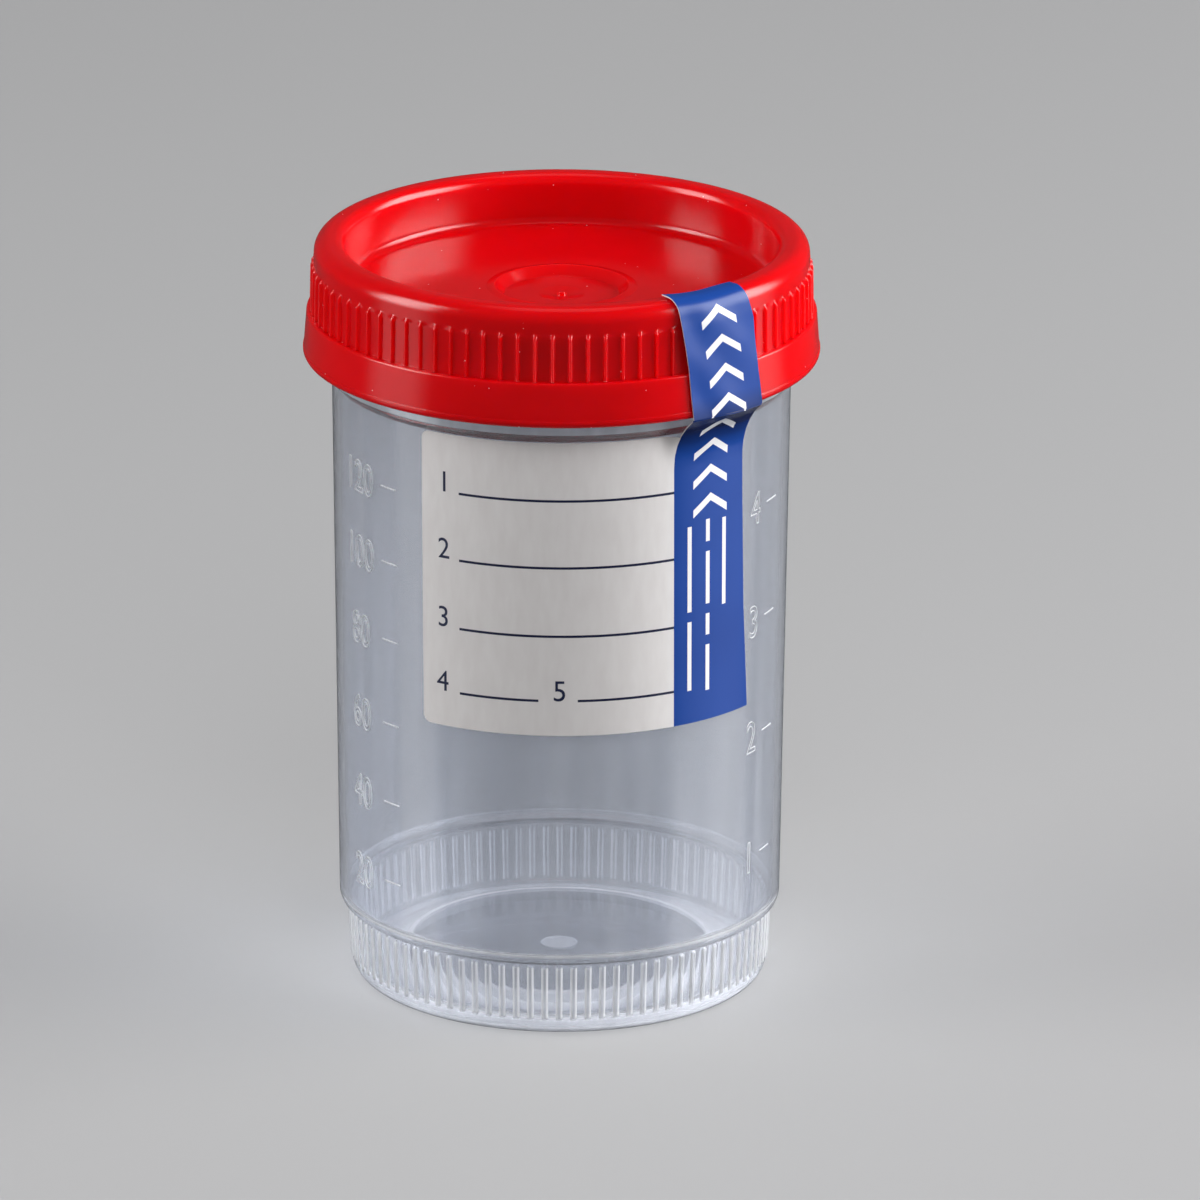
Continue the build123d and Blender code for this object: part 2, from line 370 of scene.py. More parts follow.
def make_cup():
    """The cup, with its foot, ribbed base, wall, collar and threaded neck in one skin."""
    inner_low = BASE_BOTTOM_RADIUS - WALL
    inner_high = BASE_TOP_RADIUS - WALL
    step = PUSH_UP_RADIUS - PUSH_UP_INSET
    rib = BASE_RIB_RELIEF
    up = [
        (0, FLOOR_UNDERSIDE + PUSH_UP - GATE_HEIGHT, 0, 0),
        (GATE_RADIUS, FLOOR_UNDERSIDE + PUSH_UP - GATE_HEIGHT, GATE_ROUND, 0),
        (GATE_RADIUS, FLOOR_UNDERSIDE + PUSH_UP, 0, 0),
        (step - STEP_CLEAR_BELOW, FLOOR_UNDERSIDE + PUSH_UP, 0, 0),
        (step, FLOOR_UNDERSIDE + PUSH_UP, MOULD_ROUND, 0),
        (step + PUSH_UP_DRAFT, FLOOR_UNDERSIDE, MOULD_ROUND, 0),
        (FOOT_INNER_RADIUS, FLOOR_UNDERSIDE, MOULD_ROUND, 0),
        (FOOT_INNER_RADIUS + FLOOR_UNDERSIDE, 0, MOULD_ROUND, 0),
        (BASE_BOTTOM_RADIUS, 0, BASE_ROUND, 0),
        (base_radius(BASE_RIB_LOW), BASE_RIB_LOW, 0, 0),
        (base_radius(BASE_RIB_LOW + BASE_RIB_SLOPE), BASE_RIB_LOW + BASE_RIB_SLOPE, 0, rib),
        (base_radius(BASE_RIB_HIGH - BASE_RIB_SLOPE), BASE_RIB_HIGH - BASE_RIB_SLOPE, 0, rib),
        (base_radius(BASE_RIB_HIGH), BASE_RIB_HIGH, 0, 0),
        (BASE_TOP_RADIUS, BASE_HEIGHT, LEDGE_ROUND, 0),
        (WALL_BOTTOM_RADIUS, BASE_HEIGHT, SHOULDER_ROUND, 0),
        (wall_radius(SHOULDER_LINE), SHOULDER_LINE, 0, 0),
        (wall_radius(CLEAR_ABOVE), CLEAR_ABOVE, 0, 0),
        (WALL_TOP_RADIUS, WALL_TOP, MOULD_ROUND, 0),
        (COLLAR_RADIUS, COLLAR_LOW, MOULD_ROUND, 0),
        (COLLAR_RADIUS, COLLAR_TOP, MOULD_ROUND, 0),
        (NECK_RADIUS, COLLAR_TOP, MOULD_ROUND, 0),
    ]
    thread_foot = THREAD_LOW - THREAD_ROOT_WIDTH / 2
    thread_rows = np.arange(thread_foot - THREAD_STEP, RIM - 2 * RIM_ROUND, THREAD_STEP)
    neck = [(NECK_RADIUS, height, 0, 0) for height in thread_rows]
    down = [
        (NECK_RADIUS, RIM, RIM_ROUND, 0),
        (NECK_BORE, RIM, RIM_ROUND, 0),
        (WALL_TOP_RADIUS - WALL, WALL_TOP, 0, 0),
        (WALL_BOTTOM_RADIUS - WALL, BASE_HEIGHT + WALL, SHOULDER_ROUND, 0),
        (inner_high, BASE_HEIGHT + WALL, INNER_STEP_ROUND, 0),
        (inner_low, FLOOR_TOP, SHOULDER_ROUND, 0),
        (PUSH_UP_RADIUS + PUSH_UP_DRAFT, FLOOR_TOP, MOULD_ROUND, 0),
        (PUSH_UP_RADIUS, FLOOR_TOP + PUSH_UP, PUSH_UP_ROUND, 0),
        (PUSH_UP_RADIUS - STEP_CLEAR_ABOVE, FLOOR_TOP + PUSH_UP, 0, 0),
        (0, FLOOR_TOP + PUSH_UP, 0, 0),
    ]
    ring = rib_ring(BASE_RIBS, BASE_RIB_WIDTH, BASE_TOP_RADIUS)
    return lathe("cup_shell", outline(up + neck + down), ring, neck_thread, {"haze_and_highlight": haze_and_highlight})


def skirt_radius(height):
    """Outside radius of the cap skirt, between its ribs."""
    return float(np.interp(height, (FLANGE_TOP, CAP_TOP), (SKIRT_RADIUS, SKIRT_TOP_RADIUS)))


def make_cap():
    """The screw cap, with its flange, ribs, crown, recess and plug in one skin."""
    rib = CAP_RIB_RELIEF
    rib_low = FLANGE_TOP + CAP_RIB_FOOT
    rib_full = CAP_RIB_HIGH - CAP_RIB_SLOPE
    dish_inner = DISH_RADIUS - DISH_SLOPE
    dimple = DISH_FLOOR - DIMPLE_DEPTH
    under = DISH_FLOOR - (RECESS_FLOOR - PANEL_UNDERSIDE)
    corners = [
        (0, under, 0, 0),
        (dish_inner, under, MOULD_ROUND, 0),
        (DISH_RADIUS, PANEL_UNDERSIDE, MOULD_ROUND, 0),
        (PLUG_LOW_RADIUS, PANEL_UNDERSIDE, PLUG_ROUND, 0),
        (PLUG_RADIUS, CHANNEL_TOP, MOULD_ROUND, 0),
        (CAP_BORE, CHANNEL_TOP, MOULD_ROUND, 0),
        (CAP_BORE, CAP_BOTTOM + LEAD_IN, MOULD_ROUND, 0),
        (CAP_BORE + LEAD_IN, CAP_BOTTOM, MOULD_ROUND, 0),
        (FLANGE_RADIUS, CAP_BOTTOM, FLANGE_ROUND, 0),
        (FLANGE_RADIUS, BEAD_TOP, BEAD_ROUND, 0),
        (FLANGE_RADIUS - BEAD_RELIEF, BEAD_TOP + BEAD_RELIEF, BEAD_ROUND, 0),
        (FLANGE_TOP_RADIUS, FLANGE_TOP, FLANGE_TOP_ROUND, 0),
        (skirt_radius(FLANGE_TOP) + CAP_RIB_FOOT, FLANGE_TOP, 0, 0),
        (skirt_radius(rib_low), rib_low, 0, rib),
        (skirt_radius(rib_full), rib_full, 0, rib),
        (skirt_radius(CAP_RIB_HIGH), CAP_RIB_HIGH, 0, 0),
        (SKIRT_TOP_RADIUS, CAP_TOP, CROWN_ROUND, 0),
        (RECESS_RADIUS, CAP_TOP, CROWN_INNER_ROUND, 0),
        (RECESS_FLOOR_RADIUS, RECESS_FLOOR, RECESS_ROUND, 0),
        (DISH_RADIUS + DISH_LIP_WIDTH, RECESS_FLOOR, DISH_LIP_FOOT_ROUND, 0),
        (DISH_RADIUS, RECESS_FLOOR + DISH_LIP, DISH_LIP_ROUND, 0),
        (dish_inner, DISH_FLOOR, DISH_ROUND, 0),
        (DIMPLE_RADIUS, DISH_FLOOR, MOULD_ROUND, 0),
        (PIP_RADIUS, dimple, MOULD_ROUND, 0),
        (PIP_RADIUS, dimple + PIP_HEIGHT, PIP_ROUND, 0),
        (0, dimple + PIP_HEIGHT, 0, 0),
    ]
    ring = rib_ring(CAP_RIBS, CAP_RIB_WIDTH, SKIRT_RADIUS)
    return lathe("cap_shell", outline(corners), ring)


# ---- Label and tamper strip -----------------------------------------------------------

# The strip's edges, millimetres left and right of its middle, by the length of film above
# the label's lower edge.
STRIP_LEFT = ((0, 33, 39, 45, 51, 57.5), (-3.3, -3.8, -3.7, -4.05, -4.75, -5.4))
STRIP_RIGHT = (
    (0, 13, 26, 35, 39.5, 43.5, 49.5, 53, 57.5),
    (8.1, 7.1, 6.6, 6.35, 6.6, 6.05, 5.7, 4.7, 4.1),
)
PANEL_COLUMNS = 44
STRIP_COLUMNS = 18
FILM_STEP = 0.4
SETTLE_WIDTH = 1.5
CORNER_STEPS = 6
# Stations nearer than the least step are dropped, and heights within the slack are equal.
LEAST_STEP = 0.005
SLACK = 0.001
# The bend's share of the room it has, which leaves a little straight film at its ends.
BEND_SHARE = 0.995
TEAR_GAP = 0.02
# The film's slight waves: half their height, their turn in radians to the millimetre, and the
# length of film where they begin on the label's strip.
RIPPLE = 0.05
RIPPLE_ACROSS = 0.9
RIPPLE_ALONG = 0.7
RIPPLE_START = 31
RIPPLE_RUN_IN = 4
# How far the tab's left edge stands off the cap, over what width.
TAB_LIFT = 0.16
TAB_LIFT_WIDTH = 2.5
TAB_GAP = 0.05


def film_path(corners, first_length=0.0):
    """Stations (length, radius, height, radial part, upward part) along the film's inner side."""
    points = np.array([point[:2] for point in outline(corners, holds=False)])
    lengths = np.concatenate(([0], np.cumsum(np.hypot(*np.diff(points, axis=0).T))))
    stops = np.linspace(0, lengths[-1], ceil(lengths[-1] / FILM_STEP) + 1)
    radius = np.interp(stops, lengths, points[:, 0])
    height = np.interp(stops, lengths, points[:, 1])
    along = np.gradient(np.stack((radius, height), axis=1), stops, axis=0)
    along /= np.linalg.norm(along, axis=1)[:, None]
    return [
        (stop + first_length, r, h, up, -out)
        for stop, r, h, (out, up) in zip(stops, radius, height, along)
    ]


def film(name, stations, columns, kept, lift, hold=None):
    """A closed thin film. columns(station) gives each column's bearing in radians and its
    offset from the strip's left edge; kept(i, j) says which cells of the grid are there.
    lift gives how far each column stands off the path, and hold how far it keeps to the wall."""
    outer, inner, across, along = [], [], [], []
    for station in stations:
        length, radius, height, out, up = station
        bearings, offsets = columns(station)
        raised = lift(length, offsets)
        held = hold(offsets) if hold else 0 * offsets
        for bearing, offset, rise, share in zip(bearings, offsets, raised, held):
            for side, depth in ((inner, 0), (outer, FILM)):
                r = radius + out * (rise + depth)
                r += share * (wall_radius(height) + FILM_GAP + depth - r)
                z = height + up * (rise + depth) * (1 - share)
                side.append((r * sin(bearing), -r * cos(bearing), z))
            across.append(offset)
            along.append(length)
    width = len(columns(stations[0])[0])
    shift = len(outer)
    faces, edges = [], {}
    for i in range(len(stations) - 1):
        for j in range(width - 1):
            if not kept(i, j):
                continue
            a = i * width + j
            cell = (a, a + 1, a + 1 + width, a + width)
            faces.append(cell)
            faces.append(tuple(v + shift for v in cell[::-1]))
            for p, q in zip(cell, cell[1:] + cell[:1]):
                if (q, p) in edges:
                    del edges[(q, p)]
                else:
                    edges[(p, q)] = True
    faces += [(q, p, p + shift, q + shift) for p, q in edges]
    places = np.array(outer + inner)
    printed = [1.0] * len(outer) + [0.0] * len(inner)
    values = {"across": across * 2, "along": along * 2, "printed": printed}
    used = sorted({v for face in faces for v in face})
    renumber = {v: k for k, v in enumerate(used)}
    faces = [tuple(renumber[v] for v in face) for face in faces]
    values = {key: [numbers[v] for v in used] for key, numbers in values.items()}
    return solid(name, places[used], faces, values)


def strip_edges(length):
    """The strip's left and right edges at a length of film, from its middle."""
    return float(np.interp(length, *STRIP_LEFT)), float(np.interp(length, *STRIP_RIGHT))


def strip_columns(station):
    """Bearings and offsets of the strip's columns at a station."""
    length, radius = station[:2]
    left, right = strip_edges(length)
    places = np.linspace(left, right, STRIP_COLUMNS + 1)
    return radians(STRIP_BEARING) + np.arcsin(places / radius), places - left


def label_columns(station):
    """Bearings and offsets of the panel's and the strip's columns at a station."""
    length, radius, height = station[:3]
    bearings, offsets = strip_columns(station)
    from_edge = min(height - LABEL_LOW, LABEL_TOP - height)
    inset = 0.0
    if from_edge < LABEL_ROUND:
        reach = LABEL_ROUND - max(from_edge, 0)
        inset = LABEL_ROUND - (LABEL_ROUND**2 - reach**2) ** 0.5
    left = radians(PANEL_LEFT_BEARING) + inset / radius
    panel = np.linspace(left, bearings[0], PANEL_COLUMNS + 1)[:-1]
    offsets = np.concatenate(((panel - bearings[0]) * radius, offsets))
    return np.concatenate((panel, bearings)), offsets


def ripple(length, offsets):
    """A slight slanting wave over the film."""
    return RIPPLE * (1 + np.sin(offsets * RIPPLE_ACROSS + length * RIPPLE_ALONG))


def bridge_lift(length, offsets):
    """The film waves where it spans from the wall to the cap."""
    return np.clip((length - RIPPLE_START) / RIPPLE_RUN_IN, 0, 1) * ripple(length, offsets)


def settled(offsets):
    """1 where the panel keeps to the wall, falling to 0 at the strip's edge."""
    return np.clip(-offsets / SETTLE_WIDTH, 0, 1)


def make_label():
    """The write-on panel and the lower part of the strip, one die-cut film on the cup."""
    wall_low = wall_radius(LABEL_LOW) + FILM_GAP
    wall_high = wall_radius(BRIDGE_START) + FILM_GAP
    run = (wall_high - wall_low) / (BRIDGE_START - LABEL_LOW)
    tear = Vector((FLANGE_RADIUS + FILM_GAP, TEAR_HEIGHT))
    start = Vector((wall_high, BRIDGE_START))
    chord = tear - start
    # The film leaves the wall along it and bends evenly out to the cap's lower edge.
    heading = Vector((run, 1)).normalized()
    bend = chord.length**2 / (2 * abs(heading.cross(chord)))
    reach = bend * tan(np.arccos(heading.dot(chord.normalized())))
    meet = start + heading * reach
    corners = [
        (wall_low, LABEL_LOW, 0, 0),
        (meet.x, meet.y, bend * BEND_SHARE, 0),
        (tear.x, tear.y, 0, 0),
    ]
    stations = film_path(corners)
    # The panel's rounded corners and its top edge get stations of their own.
    turns = [k * pi / (2 * CORNER_STEPS) for k in range(1, CORNER_STEPS + 1)]
    insets = [LABEL_ROUND * (1 - cos(turn)) for turn in turns]
    extra = [LABEL_LOW + h for h in insets] + [LABEL_TOP - h for h in insets] + [LABEL_TOP]
    table = np.array(stations)
    heights = table[:, 2]
    added = [tuple(np.interp(h, heights, column) for column in table.T) for h in extra]
    stations = sorted(stations + added, key=lambda station: station[2])
    apart = [True] + [b[2] - a[2] > LEAST_STEP for a, b in zip(stations, stations[1:])]
    stations = [station for station, keep in zip(stations, apart) if keep]

    def kept(i, j):
        """Only the strip goes on above the panel's top edge."""
        return j >= PANEL_COLUMNS or stations[i + 1][2] <= LABEL_TOP + SLACK

    return film("label_film", stations, label_columns, kept, bridge_lift, settled), stations[-1][0]


def tab_lift(length, offsets):
    """The tab's left edge stands a little off the cap, and the film waves slightly."""
    loose = np.clip(1 - offsets / TAB_LIFT_WIDTH, 0, 1) ** 2
    return ripple(length, offsets) + TAB_LIFT * loose


def make_tab(first_length):
    """The upper part of the strip, over the flange, the ribs and the crown of the cap."""
    rib_crest = skirt_radius(CAP_RIB_HIGH) + CAP_RIB_RELIEF
    corners = [
        (FLANGE_RADIUS + FILM_GAP, TEAR_HEIGHT + TEAR_GAP, 0, 0),
        (FLANGE_TOP_RADIUS + TAB_GAP, FLANGE_TOP, CROWN_INNER_ROUND, 0),
        (rib_crest + TAB_GAP, CAP_RIB_HIGH, CROWN_ROUND, 0),
        (SKIRT_TOP_RADIUS + FILM_GAP, CAP_TOP + FILM_GAP, CROWN_ROUND, 0),
        (STRIP_END_RADIUS, CAP_TOP + FILM_GAP, 0, 0),
    ]
    stations = film_path(corners, first_length)
    return film("tamper_tab", stations, strip_columns, lambda i, j: True, tab_lift)


# ---- Numbers --------------------------------------------------------------------------

# Height of a digit as a share of the font's size
CAPITAL_SHARE = 0.73
PRINT_HEIGHT = 2.6
PRINT_NARROW = 0.95
PRINT_GAP = FILM_GAP + FILM + 0.012
# The numbers left of the panel's ruled lines: text, place of its middle from the strip's edge,
# and height of its foot.
LINE_NUMBERS = (
    ("1", -27.7, 66.15),
    ("2", -27.7, 58.05),
    ("3", -27.7, 49.75),
    ("4", -27.7, 41.9),
    ("5", -13.7, 41.9),
)
GRADUATION_HEIGHT = 4.0
GRADUATION_NARROW = 0.78
GRADUATION_TUBE = 0.065
TICK_TUBE = 0.078
TICK_WIDTH = 2.6
TICK_STOPS = 9
TICK_SIDES = 6
MILLILITRES = (("120", 64.7), ("100", 55.55), ("80", 46.05), ("60", 35.8), ("40", 26.1), ("20", 16.3))
OUNCES = (("4", 61.35), ("3", 47.55), ("2", 33.35), ("1", 18.45))
# Bearing of the numbers, bearing of the ticks, and (number, height of its middle).
GRADUATIONS = ((-61.5, -48.5, MILLILITRES), (58.0, 66.5, OUNCES))


def number_mesh(text, height, narrow, outline_radius=0.0):
    """Flat mesh of a number, or tubes along its outline, in millimetres about its middle."""
    curve = bpy.data.curves.new(text, "FONT")
    curve.body = text
    curve.size = height / CAPITAL_SHARE
    curve.align_x = "CENTER"
    curve.resolution_u = 5
    if outline_radius:
        curve.fill_mode = "NONE"
        curve.bevel_depth = outline_radius
        curve.bevel_resolution = 1
    holder = bpy.data.objects.new(text, curve)
    bpy.context.scene.collection.objects.link(holder)
    bpy.context.view_layer.update()
    shown = holder.evaluated_get(bpy.context.evaluated_depsgraph_get())
    mesh = bpy.data.meshes.new_from_object(shown)
    bpy.data.objects.remove(holder)
    places = np.array([v.co for v in mesh.vertices])
    places[:, 0] *= narrow
    return places, [tuple(face.vertices) for face in mesh.polygons]


def wrapped(name, parts):
    """One mesh of flat parts laid on the cup wall: (places, faces, bearing, height, gap)."""
    places, faces = [], []
    for flat, cells, bearing, height, gap in parts:
        first = len(places)
        for x, y, z in flat:
            radius = wall_radius(height + y) + gap
            turn = radians(bearing) + x / radius
            radius += z
            places.append((radius * sin(turn), -radius * cos(turn), height + y))
        faces += [tuple(v + first for v in cell) for cell in cells]
    return solid(name, np.array(places), faces)


def make_line_numbers():
    """Printed numbers in front of the panel's ruled lines."""
    parts = []
    strip_left = strip_edges(0)[0]
    left_edge = radians(STRIP_BEARING) + np.arcsin(strip_left / wall_radius(LABEL_LOW))
    for text, across, height in LINE_NUMBERS:
        flat, faces = number_mesh(text, PRINT_HEIGHT, PRINT_NARROW)
        bearing = np.degrees(left_edge + across / wall_radius(height))
        parts.append((flat, faces, bearing, height, PRINT_GAP))
    return wrapped("label_line_numbers", parts)


def tick_bar(width, radius):
    """A thin straight rod, for a graduation tick."""
    stops = np.linspace(-width / 2, width / 2, TICK_STOPS)
    turns = [2 * pi * k / TICK_SIDES for k in range(TICK_SIDES)]
    section = [(cos(turn) * radius, sin(turn) * radius) for turn in turns]
    places = [(x, y, z) for x in stops for y, z in section]
    faces = []
    for i in range(TICK_STOPS - 1):
        for k in range(TICK_SIDES):
            a = i * TICK_SIDES + k
            b = i * TICK_SIDES + (k + 1) % TICK_SIDES
            faces.append((a, b, b + TICK_SIDES, a + TICK_SIDES))
    faces.append(tuple(range(TICK_SIDES))[::-1])
    faces.append(tuple(range(len(places) - TICK_SIDES, len(places))))
    return np.array(places), faces


def make_graduations():
    """Raised outlines of the volume numbers on the wall, each with a tick beside it."""
    parts = []
    tick, tick_faces = tick_bar(TICK_WIDTH, TICK_TUBE)
    for number_bearing, tick_bearing, marks in GRADUATIONS:
        for text, middle in marks:
            flat, faces = number_mesh(text, GRADUATION_HEIGHT, GRADUATION_NARROW, GRADUATION_TUBE)
            foot = middle - GRADUATION_HEIGHT / 2
            parts.append((flat, faces, number_bearing, foot, 0))
            parts.append((tick, tick_faces, tick_bearing, middle, 0))
    return wrapped("cup_graduations", parts)


# ---- Materials ------------------------------------------------------------------------


class Nodes:
    """Short calls for building a node tree."""

    def __init__(self, tree):
        self.tree = tree

    def put(self, value, socket):
        """Link a socket, or set a plain value on it."""
        if isinstance(value, bpy.types.NodeSocket):
            self.tree.links.new(value, socket)
        else:
            socket.default_value = value

    def node(self, kind, output=0, inputs=None, **settings):
        """A new node with its settings and inputs, by its output socket."""
        made = self.tree.nodes.new(kind)
        for key, value in settings.items():
            setattr(made, key, value)
        for key, value in (inputs or {}).items():
            self.put(value, made.inputs[key])
        return made.outputs[output]

    def math(self, operation, a, b=0.0):
        """A value worked out from one or two others."""
        return self.node("ShaderNodeMath", inputs={0: a, 1: b}, operation=operation)

    def value(self, name):
        """A named value of the mesh."""
        return self.node("ShaderNodeAttribute", "Fac", attribute_name=name)

    def noise(self, scale, detail=3.0, stretch=(1, 1, 1)):
        """Noise over the object's own coordinates, in metres."""
        place = self.node("ShaderNodeTexCoord", "Object")
        place = self.node("ShaderNodeVectorMath", inputs={0: place, 1: stretch}, operation="MULTIPLY")
        inputs = {"Vector": place, "Scale": scale, "Detail": detail}
        return self.node("ShaderNodeTexNoise", "Fac", inputs)

    def specks(self, scale, size):
        """1 in small round specks, scale to the metre, size in shares of their spacing."""
        place = self.node("ShaderNodeTexCoord", "Object")
        away = self.node("ShaderNodeTexVoronoi", "Distance", {"Vector": place, "Scale": scale})
        return self.math("LESS_THAN", away, size)

    def ramp(self, value, low, high, out_low=0.0, out_high=1.0, **settings):
        """value mapped from low..high to out_low..out_high."""
        start = {"Value": value, "From Min": low, "From Max": high}
        end = {"To Min": out_low, "To Max": out_high}
        return self.node("ShaderNodeMapRange", inputs=start | end, **settings)

    def mix(self, factor, a, b):
        """A mix of two colours."""
        made = self.tree.nodes.new("ShaderNodeMix")
        made.data_type = "RGBA"
        self.put(factor, made.inputs[0])
        self.put(a, made.inputs[6])
        self.put(b, made.inputs[7])
        return made.outputs[2]

    def bump(self, height, distance, strength=1.0):
        """Bump from a height value, distance in millimetres."""
        inputs = {"Height": height, "Distance": distance * MM, "Strength": strength}
        return self.node("ShaderNodeBump", inputs=inputs)

    def band(self, value, low, high):
        """1 where value lies between low and high."""
        above = self.math("GREATER_THAN", value, low)
        return self.math("MULTIPLY", above, self.math("LESS_THAN", value, high))

    def any_of(self, masks):
        """1 where any of the masks is."""
        total = masks[0]
        for mask in masks[1:]:
            total = self.math("MAXIMUM", total, mask)
        return total


class Surface(Nodes):
    """The node tree of a new material, with its Principled shader."""

    def __init__(self, name):
        self.material = bpy.data.materials.new(name)
        self.material.use_nodes = True
        super().__init__(self.material.node_tree)
        self.shader = self.tree.nodes["Principled BSDF"]
        self.output = self.tree.nodes["Material Output"]

    def surface(self, **inputs):
        """Set the Principled inputs, with underscores for spaces."""
        for key, value in inputs.items():
            self.put(value, self.shader.inputs[key.replace("_", " ")])
        return self.material


def cup_material():
    """Clear plastic with a milky haze where it is thick, painted highlights of haze along its edges, and
    long soft flow streaks.
    """
    m = Surface("cup_clear_plastic")
    streaks = m.noise(90, 3, (1, 1, 0.06))
    ripple = m.noise(260, 2, (1, 1, 0.5))
    fine_streaks = m.noise(420, 3, (1, 1, 0.03))
    # The haze value carries painted highlights along the edges as well as the plastic's milkiness.
    haze_and_highlight_here = m.math("ADD", m.value("haze_and_highlight"), m.ramp(fine_streaks, 0.4, 0.8, 0.0, 0.12))
    clear = m.mix(m.ramp(streaks, 0.3, 0.7), (0.60, 0.622, 0.67, 1), (0.68, 0.702, 0.75, 1))
    tint = m.mix(haze_and_highlight_here, clear, (0.74, 0.745, 0.76, 1))
    height = m.math("ADD", streaks, m.math("MULTIPLY", ripple, 0.3))
    m.surface(
        Base_Color=tint,
        Transmission_Weight=m.ramp(haze_and_highlight_here, 0, 1, 0.91, 0.15),
        Roughness=m.ramp(ripple, 0.3, 0.7, 0.012, 0.03),
        IOR=1.49,
        Normal=m.bump(height, 0.02),
    )
    clear = m.node("ShaderNodeBsdfTransparent", inputs={"Color": (0.955, 0.96, 0.97, 1)})
    shadow = m.node("ShaderNodeLightPath", "Is Shadow Ray")
    mixed = m.node("ShaderNodeMixShader", inputs={0: shadow, 1: m.shader.outputs[0], 2: clear})
    m.put(mixed, m.output.inputs[0])
    return m.material


def cap_material():
    """Glossy moulded red plastic, with faint waves in its surface."""
    m = Surface("cap_red_plastic")
    waves = m.noise(120, 2)
    grain = m.noise(2600, 2)
    colour = m.mix(m.ramp(waves, 0.3, 0.7), (0.70, 0.0008, 0.003, 1), (0.76, 0.001, 0.005, 1))
    colour = m.mix(m.specks(480, 0.033), colour, (0.85, 0.70, 0.70, 1))
    height = m.math("ADD", waves, m.math("MULTIPLY", grain, 0.05))
    m.surface(
        Base_Color=colour,
        Roughness=m.ramp(grain, 0.35, 0.65, 0.13, 0.17),
        IOR=1.5,
        Subsurface_Weight=1.0,
        Subsurface_Radius=(1.0, 0.05, 0.05),
        Subsurface_Scale=0.003,
        Normal=m.bump(height, 0.05),
    )
    return m.material


INK = (0.008, 0.012, 0.045, 1)
LINE_HEIGHT = 0.3
# The panel's ruled lines: left end and right end from the strip's edge, and height.
RULES = (
    (-25.5, 0.0, 66.15),
    (-25.5, 0.0, 58.05),
    (-25.5, 0.0, 49.75),
    (-25.5, -16.1, 41.9),
    (-11.6, 0.0, 41.9),
)
# Where the strip is creased round the cap's lower edge, by length of film, and how far the painted shade
# beside the crease reaches.
CREASE = 37.4
CREASE_SHADE_CORE = 0.6
CREASE_SHADE_REACH = 4.2
# The strip's small dents come in between these lengths of film.
DENTS_LOW = 36
DENTS_FULL = 40
# Chevrons: place across the strip, sizes, slope of the arms, and length of film below them.
CHEVRON_MIDDLE = 5.1
CHEVRON_SLOPE = 0.7
CHEVRON_HALF_WIDTH = 2.5
CHEVRON_STROKE = 0.95
CHEVRON_PITCH = 3.5
CHEVRON_LOW = 26.7
CHEVRONS = 8
DASH_WIDTH = 0.56
# Dashes by their line's place across, and by the two ends of each.
DASHES = (
    (2.1, ((4.0, 12.4), (13.6, 24.0))),
    (4.7, ((3.6, 9.2), (10.4, 13.0), (14.2, 20.6), (21.8, 24.5))),
    (7.2, ((13.6, 24.2),)),
)


def strip_marks(m, across, along):
    """White chevrons up the strip's upper part, and three dashed lines down its lower part."""
    aside = m.math("ABSOLUTE", m.math("SUBTRACT", across, CHEVRON_MIDDLE))
    slanted = m.math("ADD", along, m.math("MULTIPLY", aside, CHEVRON_SLOPE))
    climb = m.math("SUBTRACT", slanted, CHEVRON_LOW)
    stroke = m.math("LESS_THAN", m.math("MODULO", climb, CHEVRON_PITCH), CHEVRON_STROKE)
    chevrons = m.math("MULTIPLY", stroke, m.math("LESS_THAN", aside, CHEVRON_HALF_WIDTH))
    chevrons = m.math("MULTIPLY", chevrons, m.band(climb, 0, CHEVRONS * CHEVRON_PITCH))
    dashes = []
    for place, ends in DASHES:
        line = m.band(across, place - DASH_WIDTH / 2, place + DASH_WIDTH / 2)
        lengths = m.any_of([m.band(along, low, high) for low, high in ends])
        dashes.append(m.math("MULTIPLY", line, lengths))
    return m.any_of([chevrons] + dashes)


def film_material():
    """Printed film: a satin write-on panel and a glossy blue strip with white marks, with painted shade
    darkening the strip at its crease.
    """
    m = Surface("label_film_print")
    across = m.value("across")
    along = m.value("along")
    fibre = m.noise(900, 4, (1, 1, 0.3))
    clouds = m.noise(60, 2)
    paper = m.mix(m.ramp(fibre, 0.3, 0.7), (0.75, 0.72, 0.715, 1), (0.79, 0.765, 0.76, 1))
    blue = m.mix(m.ramp(clouds, 0.3, 0.7), (0.008, 0.048, 0.265, 1), (0.012, 0.060, 0.31, 1))
    # Painted shade: the blue darkens towards the crease round the cap's lower edge.
    crease = m.math("ABSOLUTE", m.math("SUBTRACT", along, CREASE))
    blue = m.mix(m.ramp(crease, CREASE_SHADE_CORE, CREASE_SHADE_REACH), (0.002, 0.012, 0.08, 1), blue)
    lines = []
    for left, right, height in RULES:
        middle = height - LABEL_LOW
        mask = m.band(along, middle - LINE_HEIGHT / 2, middle + LINE_HEIGHT / 2)
        lines.append(m.math("MULTIPLY", mask, m.band(across, left, right)))
    panel = m.mix(m.any_of(lines), paper, INK)
    strip = m.mix(strip_marks(m, across, along), blue, (0.86, 0.86, 0.87, 1))
    on_strip = m.math("GREATER_THAN", across, 0.0)
    printed = m.mix(on_strip, panel, strip)
    # The film's edges and outer side are printed, and its inner side is plain.
    front = m.math("GREATER_THAN", m.value("printed"), 0.001)
    colour = m.mix(front, (0.80, 0.79, 0.78, 1), printed)
    gloss = m.math("SUBTRACT", 0.5, m.math("MULTIPLY", on_strip, 0.26))
    dents = m.math("MULTIPLY", m.noise(170, 1), m.ramp(along, DENTS_LOW, DENTS_FULL, 0.0, 30.0))
    height = m.math("ADD", m.math("ADD", fibre, m.math("MULTIPLY", clouds, 4)), dents)
    m.surface(
        Base_Color=colour,
        Roughness=gloss,
        IOR=1.36,
        Normal=m.bump(height, 0.006),
    )
    return m.material


